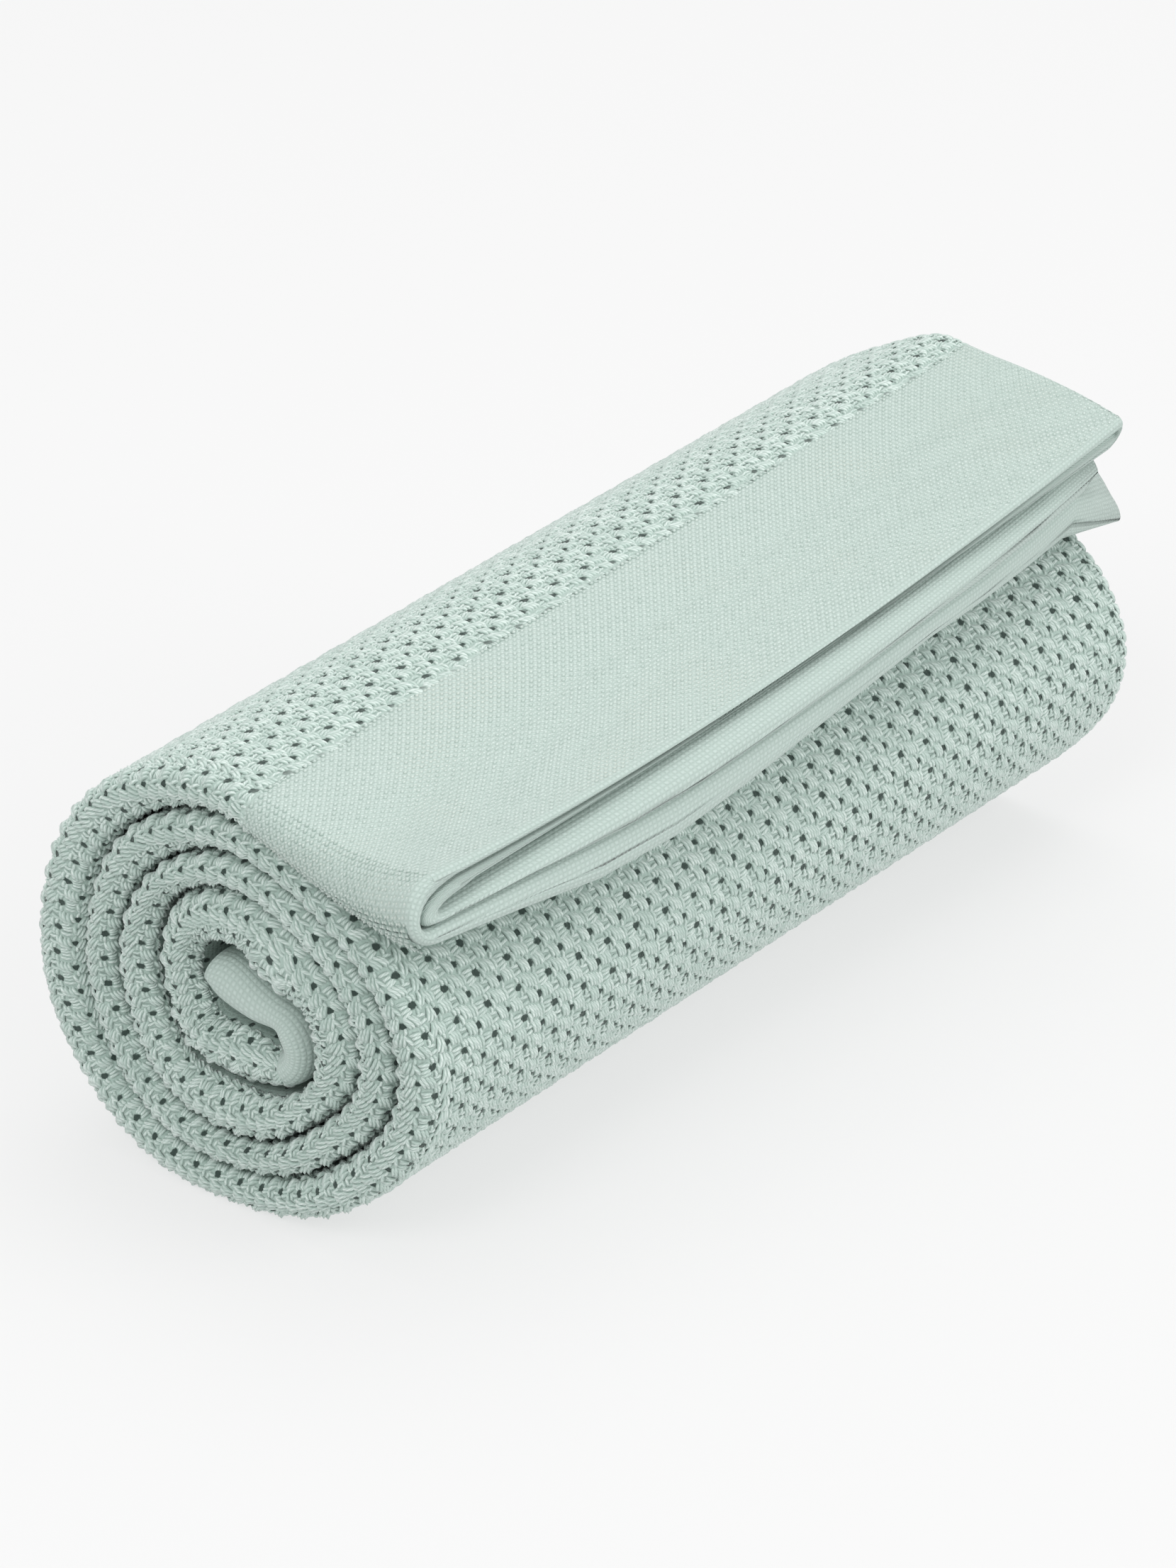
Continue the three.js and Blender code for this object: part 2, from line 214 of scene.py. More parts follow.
def smooth_line(points, t):
    """A centripetal Catmull-Rom curve through the points, at shares t of its length."""
    ends = np.concatenate([[2 * points[0] - points[1]], points, [2 * points[-1] - points[-2]]])
    place = t * (len(points) - 1)
    i = np.minimum(np.floor(place), len(points) - 2).astype(int)
    w = (place - i)[:, None]
    p0, p1, p2, p3 = (ends[i + k] for k in range(4))
    d0, d1, d2 = (np.maximum(np.sum((a - b) ** 2, -1) ** CENTRIPETAL, LEAST_STEP)[:, None]
                  for a, b in ((p0, p1), (p1, p2), (p2, p3)))
    t1 = ((p1 - p0) / d0 - (p2 - p0) / (d0 + d1) + (p2 - p1) / d1) * d1
    t2 = ((p2 - p1) / d1 - (p3 - p1) / (d1 + d2) + (p3 - p2) / d2) * d1
    return p1 + t1 * w + (-3 * p1 + 3 * p2 - 2 * t1 - t2) * w ** 2 + (2 * p1 - 2 * p2 + t1 + t2) * w ** 3


ROWS = band_rows()
STATIONS = (len(ROWS) - 1) * STATIONS_A_ROW
line_shares = np.arange(STATIONS * FINE + 1) / (STATIONS * FINE)
LINE = np.stack([smooth_line(ROWS[:, k], line_shares) for k in range(3)], 1)


def line_at(station):
    """The three centre lines (near, mid, far) at these stations."""
    place = np.clip(station, 0, STATIONS) * FINE
    i = np.minimum(place.astype(int), len(LINE) - 2)
    w = (place - i)[..., None, None]
    return LINE[i] * (1 - w) + LINE[i + 1] * w


def along_roll(x, lines):
    """The value at place x along the roll, from the values near, mid and far."""
    t = (np.clip(x, -HALF_LENGTH, HALF_LENGTH) / HALF_LENGTH)[..., None]
    return (lines[..., 0, :] * t * (t - 1) / 2 + lines[..., 1, :] * (1 - t * t)
            + lines[..., 2, :] * t * (t + 1) / 2)


def band_at(station, x):
    """Centre (out, up), half thickness and outward normal of the band."""
    station, x = np.broadcast_arrays(np.asarray(station, float), np.asarray(x, float))
    centre = along_roll(x, line_at(station))
    base = np.clip(station, SLOPE_STEP, STATIONS - SLOPE_STEP)
    step = (along_roll(x, line_at(base + SLOPE_STEP)) - along_roll(x, line_at(base - SLOPE_STEP)))[..., :2]
    run = np.linalg.norm(step, axis=-1, keepdims=True)
    tangent = step / run
    place = centre[..., :2] + tangent * run * np.minimum(0, station)[..., None]
    return place, centre[..., 2], np.stack([tangent[..., 1], -tangent[..., 0]], -1)


def in_part_frame(x, out_up):
    """Metres in the part's frame, from the place along the roll and (out, up)."""
    return np.stack([x - ORIGIN_ALONG, ORIGIN_OUT - out_up[..., 0], np.maximum(out_up[..., 1], 0)], -1) * MM


def near_flare(station):
    """How much the near corner bulges, from 1 at the loose end's edge to 0 in the roll."""
    return np.clip(1 - station / FLARE_REACH, 0, 1) ** FLARE_CURVE


def ends_at(station):
    """Where the band's folded near end and its far end lie along the roll."""
    inwards = np.clip((station / STATIONS - SET_BACK_FROM) / (1 - SET_BACK_FROM), 0, None)
    wander = (WANDER * np.sin(2 * np.pi * station / WANDER_SHORT)
              * np.sin(2 * np.pi * station / WANDER_LONG))
    return (-HALF_LENGTH + inwards ** 2 * SET_BACK_NEAR + wander - FLARE_NEAR * near_flare(station),
            HALF_LENGTH - inwards * SET_BACK_FAR + wander)


def fold_depth(station):
    """How far the folded near edge takes to round off."""
    return FOLD_NEAR + FLARE_FOLD * near_flare(station)


# Blanket
# The whole cloth as one woven cotton sheet in four layers: two folds, one in the other, at
# the coiled face, one fold and two selvedges at the far end, and a hemmed border at each
# end. Where the weave is open this is only its core, and the yarns below are laid on it.
HEM_RADIUS, HEM_RADIUS_MOST, HEM_SHARE = 1.4, 2.6, 0.45         # the last is of the thickness
HEM_DROOP, HEM_NOSE = 7.5, (0.2, 0.25, 0.9)     # the third layer sags over this length, to these shares
YARN_DEPTH = 0.5                        # how far the cloth's core lies under its cellular yarns
LAYER_GAP = 0.3
# at the loose end the layers part: their boundaries as shares of the half thickness,
# at the coiled face, at mid length and at the far end, and the gap there
UPPER_SPLIT, MOUTH_SPLIT, LOWER_SPLIT = (0.62, 0.82, 0.71), (0.14, 0.74, 0.27), (-0.3, -0.14, -0.16)
UPPER_GAP, MOUTH_GAP, LOWER_GAP = (0.7, 0.6, 0.7), (1.8, 1.0, 0.7), (0.7, 0.7, 0.7)
UPPER_DEEP, MOUTH_DEEP, LOWER_DEEP = 0.5, 0.0, -0.5             # the same in the roll
SPLIT_REACH = 9.0
# how far the lowest layer's under side and upper side sag, at these places along the roll
SAG_PLACES = (-131, -114, -95, -70, -50, -20, 0, 42, 61, 85, 105, 131)
UNDER_SAG = (-2.2, -1.6, 3.0, 6.8, 6.6, 3.2, 0.9, -3.2, -0.8, -0.5, 2.2, 3.1)
OVER_SAG = (0, 0, 0.3, 2.2, 2.4, 0.8, 0, -1.3, 0.2, 0.2, 0, 0)
SAG_SMOOTHING = (-12, -4, 4, 12)
INNER_APEX, RIM_APEX, MOUTH_APEX = 3.4, 3.9, 8.4        # inner folds, from the near end
LOW_DEPTH, HIGH_DEPTH, APEX_SKEW = 4.0, 11.0, 1.6       # how far they take to round off, and how lopsided
STATION_LENGTH = 5.5                                    # millimetres of loose end for each station
UPPER_SHORT, UPPER_SHORT_REACH = (0.0, 0.9, 0.1), 6.0   # the topmost layer's edge lies back
WING_FROM, WING_DROP, WING_OUT = 16.0, 0.80, 0.8        # the lowest layer's far corner
THIRD_SHORT = (9.0, 13.0)                               # and the third's, its upper and lower face
BORDER_LINE = (8.25, 8.8, 8.25)         # stations where the border ends, near, mid and far
BORDER_STEEPNESS = 2.5
CORE_BORDER = 182.0                     # and where the border at the inner end begins
# columns of mesh across the layers and folds, in the order in which the cloth runs
LOWEST_COLUMNS, NEAR_COLUMNS, TOP_COLUMNS, FAR_COLUMNS = 12, 11, 20, 7
SECOND_COLUMNS, MOUTH_COLUMNS, THIRD_COLUMNS = 9, 9, 10


def between(x, values):
    """A value at place x along the roll, from its near, mid and far values."""
    return along_roll(x, np.broadcast_to(np.array(values, float)[:, None], x.shape + (3, 1)))[..., 0]


def split_level(station, x, tip, deep, tip_gap):
    """Share at which two layers part, and half the gap between them in millimetres."""
    fade = np.clip(1 - station / SPLIT_REACH, 0, 1)
    return (deep + (between(x, tip) - deep) * fade,
            (LAYER_GAP + (between(x, tip_gap) - LAYER_GAP) * fade) / 2)


def sag(x, depths):
    """Millimetres of sag at place x along the roll, smoothed."""
    return np.mean([np.interp(x + shift, SAG_PLACES, depths) for shift in SAG_SMOOTHING], 0)


def cellular_share(station, x):
    """1 in the cellular weave, 0 in the two borders."""
    return (np.clip((station - between(x, BORDER_LINE)) * BORDER_STEEPNESS, 0, 1)
            * np.clip(CORE_BORDER - station, 0, 1))


def hem_radius(thick):
    """A thicker layer has a rounder hem."""
    return np.clip(thick * HEM_SHARE, HEM_RADIUS, HEM_RADIUS_MOST)


def hem_profile(station, radius):
    """How thick the cloth is near its hemmed edge, from 0 to 1."""
    return np.sqrt(1 - np.clip(1 - station * STATION_LENGTH / radius, 0, 1) ** 2)


def folded_sheet(station):
    """The cloth's outer and inner face, as grids of station by place across the folded cloth."""
    near, far = ends_at(station)
    depth = fold_depth(station)
    fade = np.clip(1 - station / CORNER_REACH, 0, 1) ** 2
    flap, short = far + FLAP_OUT * fade, far - LAYERS_SHORT * fade
    third_top, third_under = (short - cut * fade for cut in THIRD_SHORT)

    def side(x, level, upper_pair):
        """Points at places x along the roll, at a share between two of the layers' faces."""
        wing = np.clip((x - far + WING_FROM) / (WING_FROM + FLAP_OUT), 0, 1) * fade
        late = between(x, UPPER_SHORT) * np.clip(1 - station / UPPER_SHORT_REACH, 0, 1) if upper_pair else 0
        if level[0] < 2:
            late = -WING_OUT * wing
        place, half, normal = band_at(station + late, x)
        upper, upper_gap = split_level(station, x, UPPER_SPLIT, UPPER_DEEP, UPPER_GAP)
        mouth, mouth_gap = split_level(station, x, MOUTH_SPLIT, MOUTH_DEEP, MOUTH_GAP)
        lower, lower_gap = split_level(station, x, LOWER_SPLIT, LOWER_DEEP, LOWER_GAP)
        skin = 1 - YARN_DEPTH / half * cellular_share(station, x)
        faces = np.stack([-skin, lower - lower_gap / half, lower + lower_gap / half,
                          mouth - mouth_gap / half, mouth + mouth_gap / half,
                          upper - upper_gap / half, upper + upper_gap / half, skin])
        faces[0] -= sag(x, UNDER_SAG) * fade / half
        faces[1:3] -= sag(x, OVER_SAG) * fade / half
        faces[1] -= (faces[1] - faces[0]) * wing * WING_DROP
        middles = np.repeat((faces[0::2] + faces[1::2]) / 2, 2, 0)
        radii = hem_radius(np.repeat((faces[1::2] - faces[0::2]) * half, 2, 0))
        hemmed = middles + (faces - middles) * hem_profile(station, radii)
        nose = faces[2] + (faces[3] - faces[2]) * between(x, HEM_NOSE)
        hemmed[2] = nose + (faces[2] - nose) * hem_profile(station, HEM_RADIUS)
        hemmed[3] = nose + (faces[3] - nose) * hem_profile(station, HEM_DROOP)
        share = hemmed[level[0]] * (1 - level[2]) + hemmed[level[1]] * level[2]
        return in_part_frame(x, place + normal * (half * share)[:, None])

    def run(start, end, count, face, upper_pair):
        """A layer's face from start to end along the roll."""
        return [side(start + (end - start) * t, (face, face, 0), upper_pair)
                for t in np.linspace(0, 1, count)]

    def turn(apex, depths, count, faces, upper_pair, skew=1.0):
        """A fold whose outermost line is at apex, from one layer's face to another's."""
        made = []
        for a in np.linspace(-np.pi / 2, np.pi / 2, count + 2)[1:-1]:
            share = (1 + np.sin(a)) / 2
            share = share ** skew if faces[0] < faces[1] else 1 - (1 - share) ** skew
            made.append(side(apex + depths[int(a > 0)] * (1 - np.cos(a)), (*faces, share), upper_pair))
        return made

    # the faces, from below: 0 and 1 of the lowest layer, up to 6 and 7 of the topmost
    sink = YARN_DEPTH * cellular_share(station, near)
    inner, rim, mouth = near + INNER_APEX, near + RIM_APEX, near + MOUTH_APEX
    outside = (run(flap, near + depth, LOWEST_COLUMNS, 0, False)
               + turn(near + sink, (depth - sink,) * 2, NEAR_COLUMNS, (0, 7), False)
               + run(near + depth, short - FOLD_FAR, TOP_COLUMNS, 7, True)
               + turn(short - sink, (sink - FOLD_FAR,) * 2, FAR_COLUMNS, (7, 4), True)
               + run(short - FOLD_FAR, mouth + HIGH_DEPTH, SECOND_COLUMNS, 4, True)
               + turn(mouth, (HIGH_DEPTH, LOW_DEPTH), MOUTH_COLUMNS, (4, 3), False, APEX_SKEW)
               + run(mouth + LOW_DEPTH, third_top, THIRD_COLUMNS, 3, False))
    inside = (run(flap, inner + LOW_DEPTH, LOWEST_COLUMNS, 1, False)
              + turn(inner, (LOW_DEPTH, HIGH_DEPTH), NEAR_COLUMNS, (1, 6), False, APEX_SKEW)
              + run(inner + HIGH_DEPTH, short - FOLD_FAR, TOP_COLUMNS, 6, True)
              + turn(short - FOLD_FAR + 1, (-1, -1), FAR_COLUMNS, (6, 5), True)
              + run(short - FOLD_FAR, rim + HIGH_DEPTH, SECOND_COLUMNS, 5, True)
              + turn(rim, (HIGH_DEPTH, LOW_DEPTH), MOUTH_COLUMNS, (5, 2), False, APEX_SKEW)
              + run(rim + LOW_DEPTH, third_under, THIRD_COLUMNS, 2, False))
    outside, inside = np.stack(outside, 1), np.stack(inside, 1)
    # in the folds the hem is rounded by drawing both faces to the middle of the cloth
    in_fold = np.repeat((0, 1, 0, 1, 0, 1, 0), (LOWEST_COLUMNS, NEAR_COLUMNS, TOP_COLUMNS, FAR_COLUMNS,
                                                SECOND_COLUMNS, MOUTH_COLUMNS, THIRD_COLUMNS))
    drawn = in_fold[None, :, None] * (1 - hem_profile(station, HEM_RADIUS))[:, None, None] / 2
    return outside + (inside - outside) * drawn, inside + (outside - inside) * drawn


def mesh_object(name, points, faces, material):
    """A mesh object from arrays of points and faces."""
    mesh = bpy.data.meshes.new(name)
    mesh.vertices.add(len(points))
    mesh.vertices.foreach_set("co", points.astype(np.float32).ravel())
    mesh.loops.add(faces.size)
    mesh.loops.foreach_set("vertex_index", faces.astype(np.int32).ravel())
    mesh.polygons.add(len(faces))
    mesh.polygons.foreach_set("loop_start", np.arange(0, faces.size, faces.shape[1], dtype=np.int32))
    mesh.update(calc_edges=True)
    mesh.polygons.foreach_set("use_smooth", np.full(len(faces), True))
    mesh.materials.append(material)
    made = bpy.data.objects.new(name, mesh)
    bpy.context.scene.collection.objects.link(made)
    return made


def grid_faces(rows, columns, closed=False):
    """Four-sided faces of a grid, wrapped round in its second direction if closed."""
    r = np.arange(rows - 1)[:, None]
    c = np.arange(columns if closed else columns - 1)[None]
    n = (c + 1) % columns
    a, b = r * columns + c, r * columns + n
    return np.stack([a, b, b + columns, a + columns], -1).reshape(-1, 4)


def set_attribute(made, name, kind, values):
    """Stores one value or vector for each vertex of the mesh."""
    layer = made.data.attributes.new(name, kind, "POINT")
    layer.data.foreach_set("value" if kind == "FLOAT" else "vector", values.astype(np.float32).ravel())


# the cloth's length round the roll at each station, measured a little inside its skin
ARC_LEVEL, ARC_SAMPLES = 0.9, 10
middle_line = np.linspace(0, STATIONS, STATIONS * ARC_SAMPLES + 1)
middle_place, middle_half, middle_normal = band_at(middle_line, np.zeros_like(middle_line))
arc_line = middle_place + middle_normal * (middle_half * ARC_LEVEL)[:, None]
ARC = np.concatenate([[0], np.cumsum(np.linalg.norm(np.diff(arc_line, axis=0), axis=1))])


def fold_runs(station, x):
    """Cloth in the near and the far fold, for each radian of the turn."""
    half = band_at(station, x)[1]
    return (np.sqrt((half ** 2 + fold_depth(station) ** 2) / 2),
            np.sqrt(((half / 2) ** 2 + FOLD_FAR ** 2) / 2))


# plain-woven soft cotton: matt and lightly beaded by its threads, with painted light on the beads and
# painted shade between them; in the open weave it is the cloth's core, painted in the shade of the yarns,
# with painted dark shade where they part into holes
BORDER_WARP, BORDER_WEFT = 1.3, 1.07            # millimetres between the border's threads
THREAD_LEAN = 0.25                              # one thread system stands a little prouder
PITCH_ALONG, PITCH_ROUND = 9.3, 6.8             # millimetres in one repeat of the cellular weave
ROW_SLOPE = 0.066                               # its rows climb along the roll
# the holes of a repeat, painted dark as shade on the cloth's core: place along and round, and half sizes, in
# millimetres
HOLES = ((0.0, 0.0, 1.05, 0.85), (-4.25, -3.0, 1.0, 0.8))
HOLE_UNEVEN, HOLE_RAGGED, RAGGEDNESS = 3.0, 0.8, 1.3    # millimetres between changes, and how much
HOLE_INNER, HOLE_OUTER = 1.85, 2.35             # its edge, in half sizes with the unevenness added
GROUND_FIBRE, GROUND_RELIEF = 0.5, 0.2          # millimetres

cotton_ground, tree, out = new_material("plain_woven_cotton")
cloth = node(tree, "ShaderNodeAttribute", attribute_name="cloth").outputs["Vector"]
openwork = node(tree, "ShaderNodeAttribute", attribute_name="cellular").outputs["Fac"]
place = node(tree, "ShaderNodeTexCoord").outputs["Object"]
across, length, _ = node(tree, "ShaderNodeSeparateXYZ", {0: cloth}).outputs
length = node(tree, "ShaderNodeMath", {0: across, 1: ROW_SLOPE, 2: length},
              operation="MULTIPLY_ADD").outputs[0]
uneven = node(tree, "ShaderNodeTexNoise",
              {"Vector": place, "Scale": 1 / (HOLE_UNEVEN * MM), "Detail": 2.0}).outputs[0]
ragged = node(tree, "ShaderNodeTexNoise",
              {"Vector": place, "Scale": 1 / (HOLE_RAGGED * MM), "Detail": 1.0}).outputs[0]
uneven = node(tree, "ShaderNodeMath", {0: ragged, 1: RAGGEDNESS, 2: uneven},
              operation="MULTIPLY_ADD").outputs[0]
painted_hole_shade = None
for hole_across, hole_length, half_across, half_length in HOLES:
    from_across = node(tree, "ShaderNodeMath", {0: across, 1: hole_across}, operation="SUBTRACT").outputs[0]
    from_across = node(tree, "ShaderNodeMath", {0: from_across, 1: PITCH_ALONG / 2, 2: -PITCH_ALONG / 2},
                       operation="WRAP").outputs[0]
    from_length = node(tree, "ShaderNodeMath", {0: length, 1: hole_length + ROW_SLOPE * hole_across},
                       operation="SUBTRACT").outputs[0]
    from_length = node(tree, "ShaderNodeMath", {0: from_length, 1: PITCH_ROUND / 2, 2: -PITCH_ROUND / 2},
                       operation="WRAP").outputs[0]
    from_hole = node(tree, "ShaderNodeCombineXYZ", {0: from_across, 1: from_length}).outputs[0]
    from_hole = node(tree, "ShaderNodeVectorMath", {0: from_hole, 1: (1 / half_across, 1 / half_length, 0)},
                     operation="MULTIPLY").outputs[0]
    distance = node(tree, "ShaderNodeVectorMath", {0: from_hole}, operation="LENGTH").outputs["Value"]
    distance = node(tree, "ShaderNodeMath", {0: distance, 1: uneven}, operation="ADD").outputs[0]
    hole = node(tree, "ShaderNodeMapRange",
                {"Value": distance, "From Min": HOLE_INNER, "From Max": HOLE_OUTER,
                 "To Min": 1.0, "To Max": 0.0}, interpolation_type="SMOOTHSTEP").outputs[0]
    painted_hole_shade = hole if painted_hole_shade is None else node(tree, "ShaderNodeMath", {0: painted_hole_shade, 1: hole},
                                                operation="MAXIMUM").outputs[0]
threads = node(tree, "ShaderNodeVectorMath",
               {0: cloth, 1: (math.pi / BORDER_WARP, math.pi / BORDER_WEFT, 0)},
               operation="MULTIPLY").outputs[0]
waves = node(tree, "ShaderNodeVectorMath", {0: threads}, operation="SINE").outputs[0]
warp_wave, weft_wave, _ = node(tree, "ShaderNodeSeparateXYZ", {0: waves}).outputs
crossing = node(tree, "ShaderNodeMath", {0: warp_wave, 1: weft_wave}, operation="MULTIPLY").outputs[0]
bead = node(tree, "ShaderNodeMath", {0: crossing}, operation="ABSOLUTE").outputs[0]
bead = node(tree, "ShaderNodeMath", {0: crossing, 1: THREAD_LEAN, 2: bead},
            operation="MULTIPLY_ADD").outputs[0]
# painted light and shade: the threads' beads lighter, the hollows between them darker
lit = node(tree, "ShaderNodeMapRange",
           {"Value": bead, "From Min": -0.1, "From Max": 1.0, "To Min": 0.0, "To Max": 1.0}).outputs[0]
plain = node(tree, "ShaderNodeMix", {"Factor": lit, 6: linear("A9B9B2"), 7: linear("BCCBC5")},
             data_type="RGBA").outputs[2]
# painted shade: the cloth's core between the yarns, and darker still in the holes
shade = node(tree, "ShaderNodeMix", {"Factor": painted_hole_shade, 6: linear("A9BCB4"), 7: linear("3A4843")},
             data_type="RGBA").outputs[2]
colour = node(tree, "ShaderNodeMix", {"Factor": openwork, 6: plain, 7: shade}, data_type="RGBA").outputs[2]
fibres = node(tree, "ShaderNodeTexNoise",
              {"Vector": place, "Scale": 1 / (GROUND_FIBRE * MM), "Detail": 3.0}).outputs[0]
ground_height = node(tree, "ShaderNodeMath", {0: fibres, 1: bead}, operation="ADD").outputs[0]
bump = node(tree, "ShaderNodeBump",
            {"Height": ground_height, "Strength": 0.7, "Distance": GROUND_RELIEF * MM})
shader = node(tree, "ShaderNodeBsdfPrincipled",
              {"Base Color": colour, "Roughness": 0.95, "Specular IOR Level": 0.15,
               "Normal": bump.outputs[0], "Sheen Weight": 0.2, "Sheen Roughness": 0.5})
tree.links.new(shader.outputs[0], out.inputs[0])

# rows of mesh: close together on the hem, then finer in the loose end than in the roll
HEM_STEPS = np.array([0, 0.12, 0.4, 0.8, 1.4, 2.2])             # millimetres
LOOSE_FROM, LOOSE_STEP, ROLL_FROM, ROLL_STEP = 0.6, 0.4, 12, 0.5        # stations
sheet_stations = np.concatenate([HEM_STEPS / STATION_LENGTH, np.arange(LOOSE_FROM, ROLL_FROM, LOOSE_STEP),
                                 np.arange(ROLL_FROM, STATIONS + ROLL_STEP / 2, ROLL_STEP)])
outer_face, inner_face = folded_sheet(sheet_stations)
sheet = np.concatenate([outer_face, inner_face[:, ::-1]], 1)
rows, width = outer_face.shape[:2]
walls = grid_faces(rows, 2 * width, True)
first = np.arange(width - 1)
cap = np.stack([first, first + 1, 2 * width - 2 - first, 2 * width - 1 - first], -1)
blanket = mesh_object("blanket_cloth", sheet.reshape(-1, 3),
                      np.concatenate([walls, cap[:, ::-1], cap + (rows - 1) * 2 * width]), cotton_ground)

# each point's place in the flat cloth, in millimetres: across it from the middle of the
# topmost layer, and along its length
TURN_STARTS, TURN_ENDS = LOWEST_COLUMNS, LOWEST_COLUMNS + NEAR_COLUMNS
near, far = ends_at(sheet_stations)
near_run = fold_runs(sheet_stations, near)[0]
no_run = np.zeros((rows, 1))
outer_across, inner_across = (
    np.concatenate([no_run, np.cumsum(np.linalg.norm(np.diff(face, axis=1), axis=-1), 1)], 1) / MM
    for face in (outer_face, inner_face))
top_starts = (near + fold_depth(sheet_stations))[:, None]
outer_across = outer_across - outer_across[:, [TURN_ENDS]] + top_starts
angles = np.linspace(-np.pi / 2, np.pi / 2, NEAR_COLUMNS + 2)[1:-1]
turn_across = top_starts - near_run[:, None] * (np.pi / 2 - angles)
outer_across[:, :TURN_STARTS] += (turn_across[:, 0] - outer_across[:, TURN_STARTS])[:, None]
outer_across[:, TURN_STARTS:TURN_ENDS] = turn_across
across_all = np.concatenate([outer_across, inner_across[:, ::-1]], 1)
length_all = np.repeat(np.interp(sheet_stations, middle_line, ARC)[:, None], 2 * width, 1)
HEM_REACH = 2.0                         # stations over which the length follows the rounded hem
hem_end = int(np.searchsorted(sheet_stations, HEM_REACH))
hem_lengths = np.linalg.norm(np.diff(sheet[:hem_end + 1], axis=0), axis=-1) / MM
length_all[:hem_end] = length_all[hem_end] - np.cumsum(hem_lengths[::-1], 0)[::-1]
set_attribute(blanket, "cloth", "FLOAT_VECTOR",
              np.stack([across_all, length_all, np.zeros_like(across_all)], -1))
stations_all = np.broadcast_to(sheet_stations[:, None], outer_across.shape)
openness = cellular_share(stations_all, np.clip(outer_across, -HALF_LENGTH, HALF_LENGTH))
set_attribute(blanket, "cellular", "FLOAT", np.concatenate([openness, np.zeros_like(openness)], 1))
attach(blanket, "root")
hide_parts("blanket")


# Cellular weave
# Soft two-ply cotton yarns, woven in one with the cloth: puffy warp floats side by side,
# and short cross floats that draw them apart into staggered holes. The weave is made in
# pieces, by where it lies on the roll.

# one repeat, its first hole at 0, 0: place across and along the cloth, length, lean from
# the cloth's length in degrees, width, and height of the crest over the band's outer side
FLOATS = np.array([
    # beside the first hole
    [-0.15, 1.55, 1.9, -14, 1.00, 0.05],
    [0.72, 1.45, 2.2, -12, 1.00, 0.11],
    [0.35, -1.60, 1.7, 12, 0.95, 0.05],
    [1.32, -0.75, 2.7, -4, 1.02, 0.11],
    [1.95, 0.40, 3.9, -13, 1.04, 0.21],
    [2.80, 0.30, 4.0, -16, 1.04, 0.28],
    [3.62, -0.05, 4.0, -16, 1.04, 0.21],
    [4.45, -0.30, 3.6, -12, 1.04, 0.11],
    [5.30, -0.30, 3.3, -6, 1.04, 0.17],
    # its window of cross floats
    [-2.15, 1.10, 3.2, -84, 0.95, 0.10],
    [-2.15, 0.25, 2.6, -92, 0.95, -0.20],
    [-2.10, -0.65, 3.1, -98, 0.95, 0.00],
    [-1.90, -1.35, 3.1, -104, 0.95, 0.05],
    # beside the second hole
    [-4.70, -1.40, 1.8, -10, 0.95, 0.07],
    [-4.05, -4.55, 1.8, 20, 0.95, 0.07],
    [-3.00, -3.20, 3.0, -8, 1.00, 0.13],
    [-2.35, -2.90, 3.9, -13, 1.04, 0.21],
    [-1.52, -3.00, 4.0, -15, 1.04, 0.26],
    [-0.70, -3.20, 3.6, -15, 1.04, 0.15],
    # its small window
    [0.80, -2.60, 2.5, -80, 0.95, 0.05],
    [0.95, -4.00, 2.6, -97, 0.95, 0.07],
    [2.35, -3.15, 3.9, -15, 1.04, 0.19],
    [3.18, -3.45, 4.0, -16, 1.04, 0.26],
    [3.90, -3.50, 3.6, -13, 1.02, 0.15],
])
FLOAT_ROOT = -0.85                      # how deep a float's ends dip
FLOAT_SHIFT, FLOAT_TURN, SEED = 0.10, 0.12, 7           # random unevenness, in millimetres and radians
CHEVRON_LEAN, CHEVRON_RISE = 27, 1.8    # round the near folds the bundles crowd into proud chevrons
BUNDLE_LEAN, BUNDLE_LENGTH = 40, 2.9    # floats that lean less and are longer than this are bundled
FOLD_RELIEF, FAR_RELIEF = 1.6, 0.5      # yarns stand prouder or flatter where the cloth is folded
FOLD_OVERLAP, NEAR_ROUND, FAR_ROUND = 3, 13, 5          # how much weave goes with the folds
COVERED_FROM = 53.0                     # station past which the loose end hides the first turn
WEAVE_PARTS = {"weave_back": (0, 18), "weave_back_low": (18, 27), "weave_bottom": (27, 36),
               "weave_front_low": (36, 45), "weave_front": (45, COVERED_FROM)}
# one strand, as shares of its length, width and height
YARN_EDGE, YARN_BLUNT, YARN_FLANK, YARN_TIP, YARN_BOW = 1.9, 3.2, 0.25, 0.65, 0.14


def yarn_shape(name, long, wide):
    """One float lying along y, 1 long, 1 wide and 1 high: a bowed, puffy strand."""
    y, x = (k.ravel() for k in np.meshgrid(np.linspace(-0.5, 0.5, long), np.linspace(-0.5, 0.5, wide),
                                           indexing="ij"))
    taper = np.sqrt(np.clip(1 - (np.abs(y) * YARN_EDGE) ** 3, 0, 1))
    crown = np.sqrt(np.clip(1 - (np.abs(x) * YARN_EDGE) ** 2, 0, 1))
    height = (1 - (np.abs(y) * 2) ** YARN_BLUNT) * (YARN_FLANK + (1 - YARN_FLANK) * crown)
    bowed = x * (YARN_TIP + (1 - YARN_TIP) * taper) + YARN_BOW * (1 - (y * 2) ** 2)
    made = mesh_object(name, np.stack([bowed, y, height], -1), grid_faces(long, wide), cotton_ground)
    set_attribute(made, "strand", "FLOAT_VECTOR", np.stack([x, y, height], -1))
    return made


